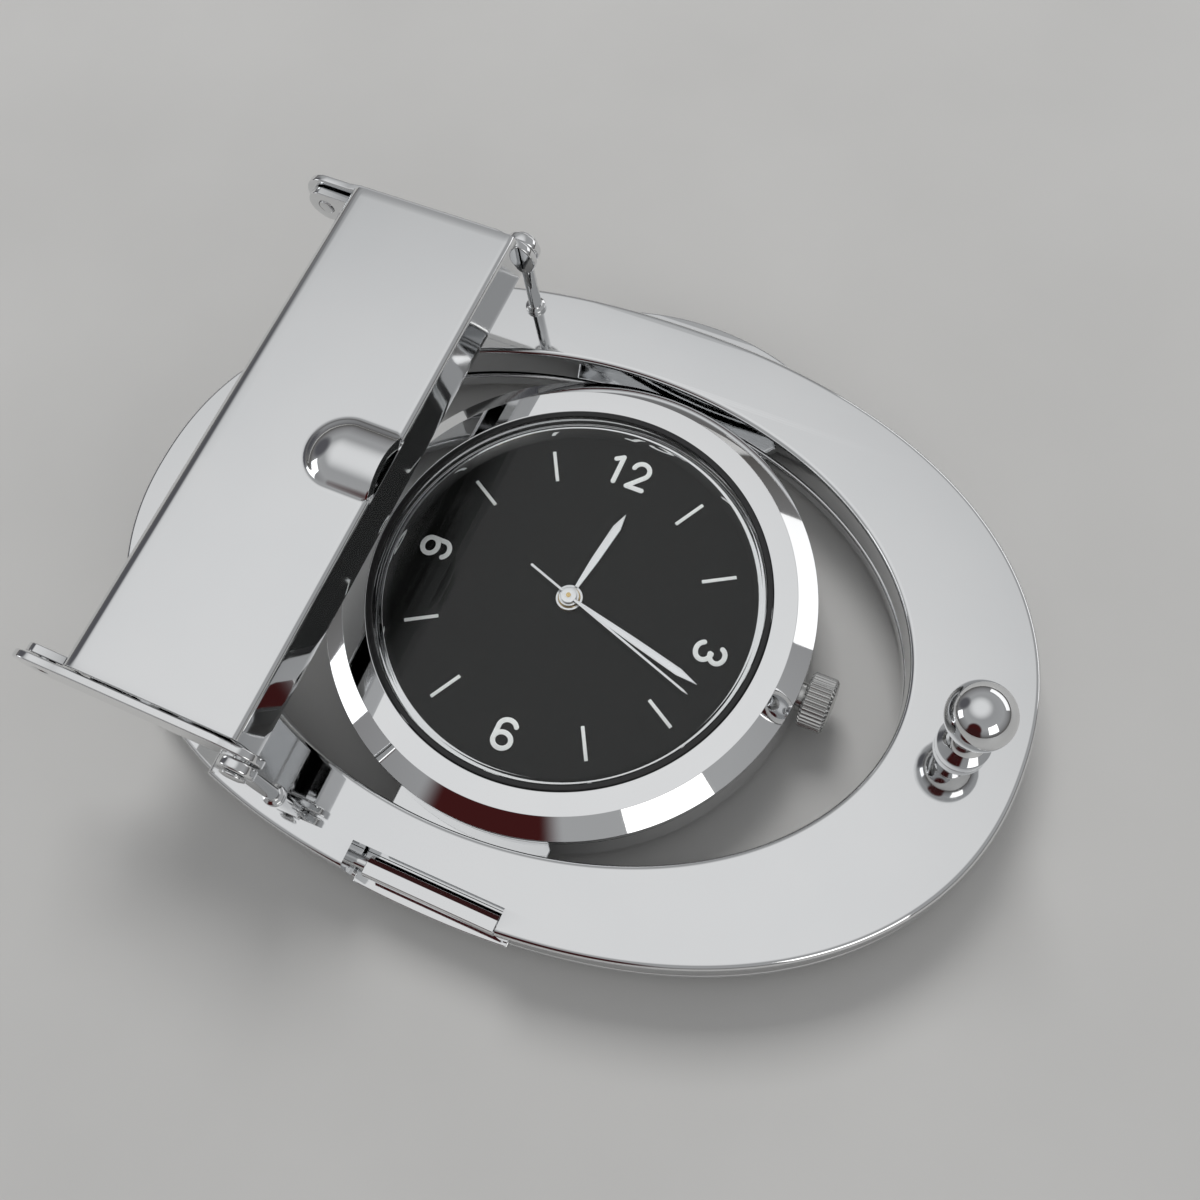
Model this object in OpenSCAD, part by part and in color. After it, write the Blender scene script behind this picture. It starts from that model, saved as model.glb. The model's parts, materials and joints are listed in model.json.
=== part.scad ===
// Belt-buckle watch: a hinged front ring carries a round quartz watch, a mirror-polished
// frame with a belt stud folds over it, and a strap clamp swings on two posts of the frame.
// +X points to 3 o'clock, +Y to 12 o'clock, +Z out of the dial. Z = 0 is the case back.

/* [Frame] */
// half length of the oval outline
frame_half_length = 35.3; // [30:0.1:42]
// half width of the oval outline
frame_half_width = 24.25; // [21:0.05:28]
// half length of the oval opening
opening_half_length = 26.5; // [24:0.1:30]
// half width of the oval opening
opening_half_width = 18.8; // [18.4:0.1:21]
// how far the ovals sit to the left of the watch axis
oval_shift = 1.5; // [0:0.1:3]
// thickness of the back frame
frame_thickness = 3.2; // [2.6:0.1:3.4]
// left end of the frame arms
arm_end_x = -18.1; // [-22:0.1:-16]
// height of the frame's top face
frame_top = 6.1; // [5.5:0.1:7]

/* [Front ring] */
// underside of the front ring
ring_bottom = 1.1; // [0.8:0.1:1.4]
// top of the front ring
ring_top = 2.5; // [2.2:0.1:2.5]
// length of the hinge knuckle
knuckle_length = 10.1; // [8:0.1:11]
// diameter of the hinge pin
hinge_pin_d = 0.9; // [0.7:0.05:1]

/* [Belt stud] */
// position of the stud along the frame
stud_x = 29.4; // [28:0.1:31]
// diameter of the ball
ball_d = 4.6; // [4:0.1:5]
// height of the ball's centre
ball_z = 12.9; // [11:0.1:13.5]

/* [Watch case] */
// outer radius of the case
case_r = 18; // [17.8:0.05:18.2]
// outer radius of the bezel's flat top
bezel_flat_r = 16.5; // [16:0.1:17]
// height of the bezel's top
bezel_top = 6.7; // [6.4:0.1:7]
// top face of the dial
dial_top = 4.7; // [4.6:0.05:4.8]
// radius of the visible crystal
crystal_r = 14.08; // [13.5:0.02:14.2]

/* [Dial] */
// inner radius of the hour bars
bar_inner = 9.75; // [9:0.05:10.2]
// outer radius of the hour bars
bar_outer = 12.3; // [12:0.05:12.8]
// width of the hour bars
bar_width = 0.26; // [0.2:0.01:0.4]
// height of the numerals
numeral_h = 2.5; // [2:0.1:3]
// radius of the numerals' centres
numeral_r = 11.1; // [10.5:0.1:11.5]

/* [Hands] */
// hour hand angle, clockwise from 12
hour_angle = 8.7; // [0:0.1:360]
// minute hand angle, clockwise from 12
minute_angle = 103.5; // [0:0.1:360]
// seconds hand angle, clockwise from 12
second_angle = 108.6; // [0:0.1:360]

/* [Crown] */
// diameter of the knurled crown
crown_d = 4.1; // [3.8:0.1:4.4]
// height of the stem axis
stem_z = 3.3; // [3.2:0.05:3.4]
// number of grooves round the crown
crown_grooves = 36; // [24:1:48]

/* [Strap clamp] */
// right edge of the clamp lid
lid_right = -12.3; // [-13:0.1:-12]
// left edge of the clamp lid
lid_left = -26.1; // [-27:0.1:-25]
// half length of the clamp lid
lid_half = 20.3; // [18:0.1:21]
// top face of the clamp lid
lid_top = 16.7; // [16:0.1:17.5]
// sheet thickness of the lid
lid_sheet = 0.8; // [0.6:0.1:1]
// height of both clamp axes
clamp_axis_z = 13.7; // [13.4:0.1:14]
// x of the axis on the frame posts
post_axis_x = -12.7; // [-13:0.1:-12.4]
// x of the lid's axis
lid_axis_x = -28.6; // [-29:0.1:-28]

/* [Hidden] */
$fn = 96;
frame_bottom = frame_top - frame_thickness;
outline_power = 2.2;
hinge_y = -23.1;
hinge_z = 4.3;
knuckle_r = 0.85;
notch_left = -6.1;
notch_right = 5.5;
notch_back = -22.1;
tab_z = ring_top - 0.8;
lip_top = ring_bottom + 0.9;
bar_z = 0.06;
sheet_end = 0.6;
post_y = lid_half + 0.1 + sheet_end + 0.15;
post_t = 0.8;
pivot_r = 0.6;
run = 0.04;
bump_r = 3.64;
bump_x = -15.5;
coil_z = 2.2;
battery_x = -7.361;
battery_y = -4.25;
third_d = 3.45;
third_a = 112;
fifth_d = 3.13;
fifth_a = 235;
rotor_d = 2.38;
minute_wheel_d = 3.0;
minute_wheel_a = 200;
fifth_x = fifth_d * cos(fifth_a);
fifth_y = fifth_d * sin(fifth_a);
rotor_a = 325;
rotor_x = fifth_x + rotor_d * cos(rotor_a);
rotor_y = fifth_y + rotor_d * sin(rotor_a);
third_x = third_d * cos(third_a);
third_y = third_d * sin(third_a);
mw_x = minute_wheel_d * cos(minute_wheel_a);
mw_y = minute_wheel_d * sin(minute_wheel_a);

// ---- shared shapes ----
function oval_points(a, b, p, n = 144) = [for (i = [0:n - 1]) let (t = 360 * i / n, c = cos(t), s = sin(t))
    [a * sign(c) * pow(abs(c), 2 / p), b * sign(s) * pow(abs(s), 2 / p)]];

module outline() { translate([-oval_shift, 0]) polygon(oval_points(frame_half_length, frame_half_width, outline_power)); }

module opening() { translate([-oval_shift, 0]) polygon(oval_points(opening_half_length, opening_half_width, 2)); }

// box between two corners
module block(a, b) { translate(a) cube([b[0] - a[0], b[1] - a[1], b[2] - a[2]]); }

module disc(r, z0, z1) { translate([0, 0, z0]) cylinder(r = r, h = z1 - z0); }

module tube(ro, ri, z0, z1) {
    difference() {
        disc(ro, z0, z1);
        disc(ri, z0 - 1, z1 + 1);
    }
}

// bar along X, centred on y, z
module rod_x(r, x0, x1, y, z) { translate([x0, y, z]) rotate([0, 90, 0]) cylinder(r = r, h = x1 - x0); }

// bar along Y, centred on x, z
module rod_y(r, y0, y1, x, z) { translate([x, y1, z]) rotate([90, 0, 0]) cylinder(r = r, h = y1 - y0); }

// toothed disc
module gear(r, depth, teeth, z0, z1) {
    step = 360 / teeth;
    translate([0, 0, z0]) linear_extrude(z1 - z0)
        polygon([for (i = [0:teeth - 1], k = [0:3])
            let (a = step * (i + [0.05, 0.36, 0.55, 0.86][k]), q = (k < 2 ? r - depth : r))
            [q * cos(a), q * sin(a)]]);
}

// wheel with spoke windows and a pinion or arbor hole
module wheel(r, depth, teeth, z0, z1, bore) {
    difference() {
        gear(r, depth, teeth, z0, z1);
        if (bore > 0) disc(bore, z0 - 1, z1 + 1);
        for (a = [0:90:270]) rotate(a + 45) translate([r * 0.56, 0, z0 - 1]) cylinder(r = r * 0.2, h = z1 - z0 + 2, $fn = 32);
    }
}

// ---- front ring ----
module front_ring() {
    color("silver") difference() {
        translate([0, 0, ring_bottom]) linear_extrude(ring_top - ring_bottom) difference() { outline(); opening(); }
        block([-6.3, -26, tab_z], [6.1, -17, ring_top + 1]);
        block([-8.2, 17, 0], [8.2, 26, lip_top]);
    }
}

// leaf, knuckle and bridge to the case at 6 o'clock
module hinge_leaf() {
    color("silver") {
        difference() {
            union() {
                intersection() {
                    block([-6.2, -24.6, tab_z], [6, -16.9, ring_top]);
                    translate([-oval_shift, 0, tab_z]) linear_extrude(1)
                        polygon(oval_points(frame_half_length + 0.3, frame_half_width + 0.3, outline_power));
                }
                rod_x(knuckle_r, -4.9, -4.9 + knuckle_length, hinge_y, hinge_z);
                block([-4.9, hinge_y - 0.7, ring_top - 0.1], [-4.9 + knuckle_length, hinge_y + 0.6, hinge_z - 0.2]);
            }
            disc(case_r, 0, 10);
            rod_x(hinge_pin_d / 2 + run, -8, 8, hinge_y, hinge_z);
        }
    }
}

// tongue at 12 o'clock that a thumb nail lifts
module thumb_lip() {
    color("silver") difference() {
        intersection() {
            block([-8.1, 16.9, ring_bottom], [8.1, 27.5, lip_top]);
            translate([-0.3, 5.4, 0]) disc(22, 0, 10);
        }
        disc(case_r, 0, 10);
    }
}

// ---- watch case ----
module case() {
    color("gainsboro") difference() {
        rotate_extrude() polygon([[14.4, 0.42], [16.4, 0.42], [17.5, 0.85], [18, 1.5], [18, 5], [14.4, 5]]);
        tube(15.3, 14.5, 0, 0.82);
        rod_x(0.85, 13, 17.45, 0, stem_z);
        rod_x(1.25, 17.4, 19, 0, stem_z);
    }
}

module bezel() {
    color("gainsboro") rotate_extrude()
        polygon([[14.75, 5], [17.96, 5], [18, 5.05], [18, 5.65], [bezel_flat_r, bezel_top], [14.75, bezel_top]]);
}

module crystal_gasket() {
    color("#101010") rotate_extrude()
        polygon([[14.1, 5.58], [14.73, 5.02], [14.73, bezel_top + 0.06], [14.1, bezel_top + 0.06]]);
}

module crystal() {
    color("#e8f0f4") rotate_extrude()
        polygon([[0, 5.66], [14.08, 5.66], [14.08, bezel_top + 0.04], [13.8, bezel_top + 0.2], [0, bezel_top + 0.2]]);
}

module rehaut() {
    color("silver") rotate_extrude() polygon([[13.35, dial_top], [14.35, dial_top], [14.35, 4.98], [14.05, 5.57], [13.75, 5.57]]);
}

module caseback() {
    color("silver") difference() {
        union() {
            disc(16.2, 0, 0.4);
            disc(14.35, 0.4, 0.95);
        }
        disc(13.2, 0.55, 2);
        for (i = [0:5]) rotate(60 * i) block([14.3, -0.9, -1], [15.6, 0.9, 0.2]);
    }
}

module caseback_gasket() { color("#202020") tube(15.26, 14.54, 0.41, 0.8); }

module case_tube() {
    color("silver") difference() {
        rod_x(0.84, 13.2, 17.4, 0, stem_z);
        rod_x(0.6, 13, 18, 0, stem_z);
    }
}

// ---- dial ----
module dial() {
    color("#2c2d2c") difference() {
        disc(14.33, 4.3, dial_top);
        disc(0.95, 4, 5);
    }
}

module hour_bars() {
    color("white") for (h = [1, 2, 4, 5, 7, 8, 10, 11]) rotate(90 - 30 * h)
        block([bar_inner, -bar_width / 2, dial_top], [bar_outer, bar_width / 2, dial_top + bar_z]);
}

// strokes of the numerals, drawn in a cell numeral_h high
module stroke(x0, y0, x1, y1, w) {
    len = norm([x1 - x0, y1 - y0]);
    translate([x0, y0]) rotate(atan2(y1 - y0, x1 - x0)) translate([0, -w / 2]) square([len, w]);
    for (q = [[x0, y0], [x1, y1]]) translate(q) circle(d = w, $fn = 24);
}

module bow(x, y, r, w, a0, a1) {
    n = 24;
    translate([x, y]) polygon(concat(
        [for (i = [0:n]) let (a = a0 + (a1 - a0) * i / n) [(r + w / 2) * cos(a), (r + w / 2) * sin(a)]],
        [for (i = [n:-1:0]) let (a = a0 + (a1 - a0) * i / n) [(r - w / 2) * cos(a), (r - w / 2) * sin(a)]]));
    for (a = [a0, a1]) translate([x + r * cos(a), y + r * sin(a)]) circle(d = w, $fn = 24);
}

module digit_one(h, w) {
    stroke(0, -h / 2 + w / 2, 0, h / 2 - w / 2, w);
    stroke(0, h / 2 - w / 2, -h * 0.2, h / 2 - w / 2 - h * 0.12, w);
}

module digit_two(h, w) {
    r = h * 0.25;
    bow(0, h / 2 - w / 2 - r, r, w, 170, -38);
    stroke(r * cos(-38), h / 2 - w / 2 - r + r * sin(-38), -r, -h / 2 + w / 2, w);
    stroke(-r, -h / 2 + w / 2, r, -h / 2 + w / 2, w);
}

module digit_three(h, w) {
    r = h * 0.215;
    q = h / 2 - w / 2 - r;
    bow(0, q, r, w, 160, -88);
    bow(0, -q + r * 0.06, r * 1.1, w, 86, -160);
}

module digit_six(h, w) {
    r = h * 0.27;
    bow(0, -h / 2 + w / 2 + r, r, w, 0, 360);
    stroke(-r * 0.93, -h / 2 + w / 2 + r * 1.35, h * 0.09, h / 2 - w / 2, w);
}

module numerals() {
    w = 0.36;
    color("white") translate([0, 0, dial_top]) linear_extrude(bar_z) {
        translate([-0.95, numeral_r]) digit_one(numeral_h, w);
        translate([0.75, numeral_r]) digit_two(numeral_h, w);
        rotate(-90) translate([0, numeral_r]) digit_three(numeral_h, w);
        translate([0, -numeral_r]) digit_six(numeral_h, w);
        rotate(90) translate([0, numeral_r]) rotate(180) digit_six(numeral_h, w);
    }
}

// ---- movement ----
module movement_ring() {
    color("ivory") difference() {
        tube(14.3, 12.06, 1.1, 4.28);
        block([10, -1.1, 2.2], [15, 1.1, 5]);
    }
}

module arbor_holes(r) {
    for (p = [[third_x, third_y], [fifth_x, fifth_y], [rotor_x, rotor_y]]) translate([p[0], p[1], -1]) cylinder(r = r, h = 9, $fn = 24);
}

module main_plate() {
    color("goldenrod") difference() {
        disc(12.02, 2.95, 3.66);
        disc(0.5, 0, 9);
        arbor_holes(0.18);
        block([5.6, -0.75, 2.5], [13, 0.75, 4]);
    }
    color("goldenrod") translate([mw_x, mw_y, 3.64]) cylinder(r = 0.27, h = 0.6, $fn = 24);
}

module train_bridge() {
    color("goldenrod") difference() {
        union() {
            disc(5, 1.5, 1.9);
            block([-2.6, -9.6, 1.5], [2.6, -3, 1.9]);
            for (a = [20, 190, 332]) rotate(a) translate([4.4, 0, 1.88]) cylinder(r = 0.55, h = 1.07, $fn = 32);
        }
        disc(0.21, 0, 9);
        arbor_holes(0.18);
    }
}

module circuit_board() {
    color("#2a5d3a") difference() {
        intersection() {
            disc(11.6, 1.2, 1.42);
            union() {
                block([-12, 1.5, 0], [12, 12, 9]);
                block([4.2, -9, 0], [12, 2, 9]);
            }
        }
        for (a = [55, 125]) rotate(a) translate([10.3, 0, 0]) cylinder(r = 0.6, h = 4, $fn = 32);
    }
}

module battery() {
    color("lightgray") translate([battery_x, battery_y, 0]) {
        disc(3.4, 1.25, 2.6);
        disc(2.7, 2.6, 2.85);
    }
}

module battery_strap() {
    color("silver") translate([battery_x, battery_y, 0]) rotate(-50) {
        block([-4, -0.8, 1.04], [4, 0.8, 1.22]);
        block([3.65, -0.8, 1.2], [4, 0.8, 2.93]);
    }
}

module coil_core() { color("dimgray") rod_y(0.35, -2.2, 8.2, 8.4, coil_z); }

module coil() {
    color("peru") difference() {
        rod_y(0.66, -1.2, 7.2, 8.4, coil_z);
        rod_y(0.37, -3, 9, 8.4, coil_z);
    }
    color("ivory") for (y = [-1.6, 7.24]) difference() {
        rod_y(0.7, y, y + 0.36, 8.4, coil_z);
        rod_y(0.37, -3, 9, 8.4, coil_z);
    }
}

module stator() {
    color("lightsteelblue") difference() {
        union() {
            block([rotor_x - 1.3, rotor_y - 1, 2.68], [9, rotor_y + 0.75, 2.92]);
            block([7.8, rotor_y - 1, 2.68], [9, -1.8, 2.92]);
        }
        translate([rotor_x, rotor_y, 0]) disc(0.66, 0, 5);
    }
}

module quartz_can() { color("silver") rod_x(0.65, -4.2, 1.6, 8.6, 2.12); }

module chip() { color("#181818") block([3.2, 6.6, 1.44], [5.8, 9.2, 2.1]); }

// ---- wheel train ----
module rotor() {
    color("dimgray") translate([rotor_x, rotor_y, 0]) {
        disc(0.15, 1.55, 3.6);
        gear(0.35, 0.08, 8, 2, 2.16);
        disc(0.6, 2.6, 2.93);
    }
}

module fifth_wheel() {
    color("gold") translate([fifth_x, fifth_y, 0]) {
        disc(0.15, 1.55, 3.6);
        wheel(2, 0.12, 48, 2, 2.16, 0);
        gear(0.5, 0.1, 10, 2.15, 2.42);
    }
}

module seconds_wheel() {
    color("gold") {
        disc(0.18, 1.55, 5.56);
        wheel(2.6, 0.12, 50, 2.2, 2.38, 0);
        gear(0.5, 0.1, 10, 2.37, 2.56);
    }
}

module third_wheel() {
    color("gold") translate([third_x, third_y, 0]) {
        disc(0.15, 1.55, 3.6);
        wheel(2.92, 0.12, 60, 2.42, 2.56, 0);
        gear(0.32, 0.06, 8, 2.55, 2.8);
    }
}

module centre_wheel() {
    color("gold") difference() {
        union() {
            wheel(3.1, 0.1, 80, 2.62, 2.82, 0);
            disc(0.42, 2.62, 5.36);
            gear(0.95, 0.12, 14, 3.72, 3.94);
        }
        disc(0.22, 2, 6);
    }
}

module minute_wheel() {
    color("gold") translate([mw_x, mw_y, 0]) difference() {
        union() {
            wheel(2.02, 0.12, 42, 3.72, 3.94, 0);
            gear(0.56, 0.1, 10, 3.93, 4.2);
        }
        disc(0.3, 3, 5);
    }
}

module hour_wheel() {
    color("gold") difference() {
        union() {
            wheel(2.41, 0.12, 40, 3.98, 4.2, 0);
            disc(0.8, 3.98, 5.04);
        }
        disc(0.46, 3, 6);
    }
}

// slim hand: narrow neck, nearly parallel blade, short point
module hand_blade(tip, wide, neck, shoulder, root, z0, z1) {
    translate([0, 0, z0]) linear_extrude(z1 - z0)
        polygon([[root, -wide * 0.2], [neck, -wide * 0.42], [shoulder, -wide / 2], [tip, 0],
            [shoulder, wide / 2], [neck, wide * 0.42], [root, wide * 0.2]]);
}

module hour_hand() {
    color("white") rotate(90 - hour_angle) difference() {
        union() {
            hand_blade(7.75, 0.66, 1.9, 6.7, 0.9, 4.92, 5.02);
            disc(1, 4.92, 5.02);
        }
        disc(0.81, 4, 6);
    }
}

module minute_hand() {
    color("white") rotate(90 - minute_angle) difference() {
        union() {
            hand_blade(11.5, 0.6, 3.4, 10.4, 0.6, 5.16, 5.26);
            disc(0.75, 5.16, 5.26);
        }
        disc(0.43, 4, 6);
    }
}

module seconds_hand() {
    color("white") rotate(90 - second_angle) difference() {
        union() {
            hand_blade(11.5, 0.18, 1, 6, -3.8, 5.42, 5.5);
            block([-3.8, -0.09, 5.42], [1, 0.09, 5.5]);
            disc(0.6, 5.42, 5.52);
        }
        disc(0.19, 4, 6);
    }
}

// ---- crown ----
module crown() {
    color("silver") difference() {
        union() {
            translate([18.7, 0, stem_z]) rotate([0, 90, 0]) rotate_extrude()
                polygon([[0, 0], [1.85, 0], [crown_d / 2, 0.18], [crown_d / 2, 1.4], [1.8, 1.62], [0, 1.75]]);
            rod_x(1.1, 17.6, 18.72, 0, stem_z);
        }
        for (i = [0:crown_grooves - 1]) translate([18.8, 0, stem_z]) rotate([360 * i / crown_grooves, 0, 0])
            translate([0, 0, crown_d / 2]) rotate([45, 0, 0]) translate([0, -0.09, -0.09]) cube([1.6, 0.18, 0.18]);
        rod_x(0.5, 17, 19.6, 0, stem_z);
    }
}

module crown_gasket() {
    color("#202020") difference() {
        rod_x(0.59, 16.3, 16.9, 0, stem_z);
        rod_x(0.34, 16, 18, 0, stem_z);
    }
}

module stem() {
    color("silver") {
        rod_x(0.48, 17, 19.58, 0, stem_z);
        rod_x(0.3, 6.3, 17.1, 0, stem_z);
        rod_x(0.48, 12.4, 15.9, 0, stem_z);
    }
}

// ---- back frame ----
module frame() {
    color("silver") difference() {
        translate([0, 0, frame_bottom]) linear_extrude(frame_thickness) difference() {
            intersection() {
                outline();
                translate([arm_end_x, -40]) square([80, 80]);
            }
            opening();
            translate([notch_left, -40]) square([notch_right - notch_left, 40 + notch_back]);
        }
        rod_x(hinge_pin_d / 2, notch_left - 1.2, notch_right + 1.2, hinge_y, hinge_z);
        translate([stud_x, 0, 0]) disc(1, 0, 10);
        for (s = [-1, 1]) translate([post_axis_x, s * (post_y + post_t / 2), 0]) {
            disc(0.55, 0, 10);
            disc(0.9, 0, frame_bottom + 0.5);
        }
    }
}

module hinge_pin() { color("silver") rod_x(hinge_pin_d / 2, notch_left - 1.1, notch_right + 1.1, hinge_y, hinge_z); }

// ball-headed pin that goes through a hole of the belt
module stud() {
    color("silver") translate([stud_x, 0, 0]) {
        translate([0, 0, ball_z]) sphere(d = ball_d);
        disc(1, frame_bottom, ball_z);
    }
}

module stud_collar() {
    color("silver") translate([stud_x, 0, 0]) rotate_extrude()
        polygon([[1, frame_top], [1.85, frame_top], [1.85, frame_top + 0.5], [1.45, frame_top + 0.9], [1.45, frame_top + 2.2],
            [1.2, frame_top + 2.5], [1, frame_top + 2.5]]);
}

// round post with an eye for the pivot pin and a riveted foot
module post(s) {
    color("silver") difference() {
        union() {
            translate([post_axis_x, s * (post_y + post_t / 2), 0]) {
                disc(0.5, frame_top, clamp_axis_z - 0.9);
                disc(0.8, frame_top, frame_top + 0.3);
                disc(0.55, frame_bottom + 0.2, frame_top + 0.1);
                disc(0.9, frame_bottom, frame_bottom + 0.5);
            }
            rod_y(1.35, s > 0 ? post_y : -post_y - post_t, s > 0 ? post_y + post_t : -post_y, post_axis_x, clamp_axis_z);
        }
        rod_y(pivot_r + run, -30, 30, post_axis_x, clamp_axis_z);
    }
}

module post_upper() { post(1); }

module post_lower() { post(-1); }

// ---- strap clamp ----
module bracket_end(y) {
    difference() {
        union() {
            block([-26, y, 11.7], [post_axis_x - 0.9, y + sheet_end, 15.9]);
            block([lid_axis_x, y, 12.2], [-25.9, y + sheet_end, 15.5]);
            rod_y(2.05, y, y + sheet_end, lid_axis_x, clamp_axis_z);
            rod_y(1.75, y, y + sheet_end, post_axis_x - 0.3, clamp_axis_z);
        }
        rod_y(pivot_r, y - 1, y + sheet_end + 1, lid_axis_x, clamp_axis_z);
        rod_y(pivot_r, y - 1, y + sheet_end + 1, post_axis_x, clamp_axis_z);
    }
}

module clamp_bracket() {
    color("silver") {
        bracket_end(lid_half + 0.1);
        bracket_end(-lid_half - 0.1 - sheet_end);
        block([-26, -lid_half - 0.12, 11.7], [-14.2, lid_half + 0.12, 12.3]);
    }
}

module pivot_pin(s) {
    color("silver") {
        rod_y(pivot_r, s > 0 ? lid_half + 0.12 : -post_y - post_t - 0.15, s > 0 ? post_y + post_t + 0.15 : -lid_half - 0.12,
            post_axis_x, clamp_axis_z);
        rod_y(0.95, s > 0 ? post_y + post_t + 0.1 : -post_y - post_t - 0.4, s > 0 ? post_y + post_t + 0.4 : -post_y - post_t - 0.1,
            post_axis_x, clamp_axis_z);
    }
}

module pivot_pin_upper() { pivot_pin(1); }

module pivot_pin_lower() { pivot_pin(-1); }

// one short rivet in each ear of the bracket
module lid_pin() {
    pin_from = lid_half - 0.75;
    pin_to = lid_half + 0.05 + sheet_end;
    color("silver") {
        rod_y(pivot_r, pin_from, pin_to, lid_axis_x, clamp_axis_z);
        rod_y(pivot_r, -pin_to, -pin_from, lid_axis_x, clamp_axis_z);
    }
}

// raised thumb-nail bump with a round end, open towards the watch
module bump_form(r, half, x1, z0) {
    intersection() {
        rod_x(r, -19, x1, 0, lid_top + 1.2 - bump_r);
        union() {
            translate([bump_x, 0, z0]) cylinder(r = half, h = 5);
            block([bump_x, -half, z0], [x1, half, z0 + 5]);
        }
    }
}

module clamp_lid() {
    color("silver") difference() {
        union() {
            block([lid_left + 1.4, -lid_half, lid_top - lid_sheet], [lid_right, lid_half, lid_top]);
            block([lid_right - lid_sheet, -lid_half, 12.5], [lid_right, lid_half, lid_top]);
            intersection() {
                difference() {
                    rod_y(1.4, -lid_half, lid_half, lid_left + 1.4, lid_top - 1.4);
                    rod_y(1.4 - lid_sheet, -30, 30, lid_left + 1.4, lid_top - 1.4);
                }
                block([lid_left, -30, lid_top - 1.4], [lid_left + 1.4, 30, lid_top]);
            }
            block([lid_left, -lid_half, 14.2], [lid_left + lid_sheet, lid_half, lid_top - 1.4]);
            for (s = [-1, 1]) translate([0, s > 0 ? lid_half - 0.7 : -lid_half, 0]) difference() {
                union() {
                    block([lid_axis_x, 0, clamp_axis_z - 0.2], [lid_left + 3, 0.7, lid_top - 1.6]);
                    rod_y(1.55, 0, 0.7, lid_axis_x, clamp_axis_z);
                }
                rod_y(pivot_r + run, -1, 2, lid_axis_x, clamp_axis_z);
            }
            bump_form(bump_r, 2.7, lid_right, lid_top - 0.3);
        }
        bump_form(bump_r - 0.6, 2.1, lid_right - lid_sheet, lid_top - 2);
        bump_form(bump_r - 0.6, 2.1, lid_right + 1, lid_top - lid_sheet - 0.1);
        block([lid_right - 2, 16.6, 12], [lid_right + 1, 18.2, 14.6]);
    }
}

// toothed strip under the lid that bites into the belt
module grip_strip() {
    color("gray") difference() {
        block([lid_left + 1.45, -17.5, 13.4], [lid_left + 2.6, 17.5, 15.85]);
        for (i = [-11:11]) translate([lid_left, 1.5 * i, 13.2]) rotate([45, 0, 0]) cube([3, 0.8, 0.8]);
    }
}

front_ring();
hinge_leaf();
thumb_lip();
case();
bezel();
crystal_gasket();
crystal();
rehaut();
dial();
hour_bars();
numerals();
caseback();
caseback_gasket();
case_tube();
movement_ring();
main_plate();
train_bridge();
circuit_board();
battery();
battery_strap();
coil();
coil_core();
stator();
quartz_can();
chip();
rotor();
fifth_wheel();
third_wheel();
centre_wheel();
minute_hand();
seconds_wheel();
seconds_hand();
minute_wheel();
hour_wheel();
hour_hand();
crown_gasket();
crown();
stem();
frame();
hinge_pin();
stud();
stud_collar();
post_upper();
post_lower();
clamp_bracket();
pivot_pin_upper();
pivot_pin_lower();
lid_pin();
clamp_lid();
grip_strip();
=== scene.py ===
# Belt-buckle watch: smooth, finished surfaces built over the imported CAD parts.
# Lengths in the tables below are millimetres in the row frame; MM turns them into metres.
import json
import math

import bmesh
import bpy
from mathutils import Matrix, Vector


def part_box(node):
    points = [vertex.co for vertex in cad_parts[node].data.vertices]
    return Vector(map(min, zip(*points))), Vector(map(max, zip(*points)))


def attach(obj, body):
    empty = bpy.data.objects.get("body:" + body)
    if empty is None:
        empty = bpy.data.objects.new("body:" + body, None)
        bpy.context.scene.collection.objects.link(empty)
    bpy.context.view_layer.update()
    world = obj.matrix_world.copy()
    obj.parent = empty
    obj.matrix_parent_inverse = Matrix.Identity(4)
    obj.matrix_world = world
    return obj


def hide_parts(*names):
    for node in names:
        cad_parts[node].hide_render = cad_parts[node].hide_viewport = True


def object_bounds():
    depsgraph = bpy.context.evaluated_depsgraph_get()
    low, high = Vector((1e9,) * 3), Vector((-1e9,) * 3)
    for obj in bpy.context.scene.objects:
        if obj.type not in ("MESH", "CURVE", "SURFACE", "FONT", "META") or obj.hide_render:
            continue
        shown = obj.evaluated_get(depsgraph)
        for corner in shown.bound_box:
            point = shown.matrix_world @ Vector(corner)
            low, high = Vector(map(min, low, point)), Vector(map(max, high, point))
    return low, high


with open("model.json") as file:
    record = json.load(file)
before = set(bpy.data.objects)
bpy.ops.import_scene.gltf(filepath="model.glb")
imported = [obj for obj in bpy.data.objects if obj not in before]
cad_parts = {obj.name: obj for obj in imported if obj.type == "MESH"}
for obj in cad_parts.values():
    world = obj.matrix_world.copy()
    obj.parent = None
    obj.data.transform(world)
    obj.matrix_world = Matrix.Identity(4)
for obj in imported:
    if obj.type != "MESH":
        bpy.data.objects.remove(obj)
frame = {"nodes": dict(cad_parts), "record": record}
cad_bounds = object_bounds()
scene = bpy.context.scene
MM = 0.001


def edge_of(node, side, axis):
    """A CAD node's lowest (side 0) or highest (side 1) coordinate along an axis, in mm."""
    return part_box(node)[side][axis] / MM


# ---------------------------------------------------------------- camera
EYE = (23.32, -28.62, 92.37)
LENS, SENSOR = 38.8, 36.0
RIGHT, UP = Vector((0.9096, 0.407, -0.084)), Vector((-0.3498, 0.859, 0.374))
back = RIGHT.cross(UP).normalized()
right = RIGHT.normalized()
turn = Matrix((right, back.cross(right), back)).transposed()
lens = bpy.data.cameras.new("camera")
lens.lens, lens.sensor_width, lens.sensor_fit, lens.clip_start = LENS, SENSOR, "HORIZONTAL", 0.001
camera = bpy.data.objects.new("camera", lens)
camera.matrix_world = Matrix.Translation(Vector(EYE) * MM) @ turn.to_4x4()
scene.collection.objects.link(camera)
scene.camera = camera
scene.view_settings.view_transform = "Standard"


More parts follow.
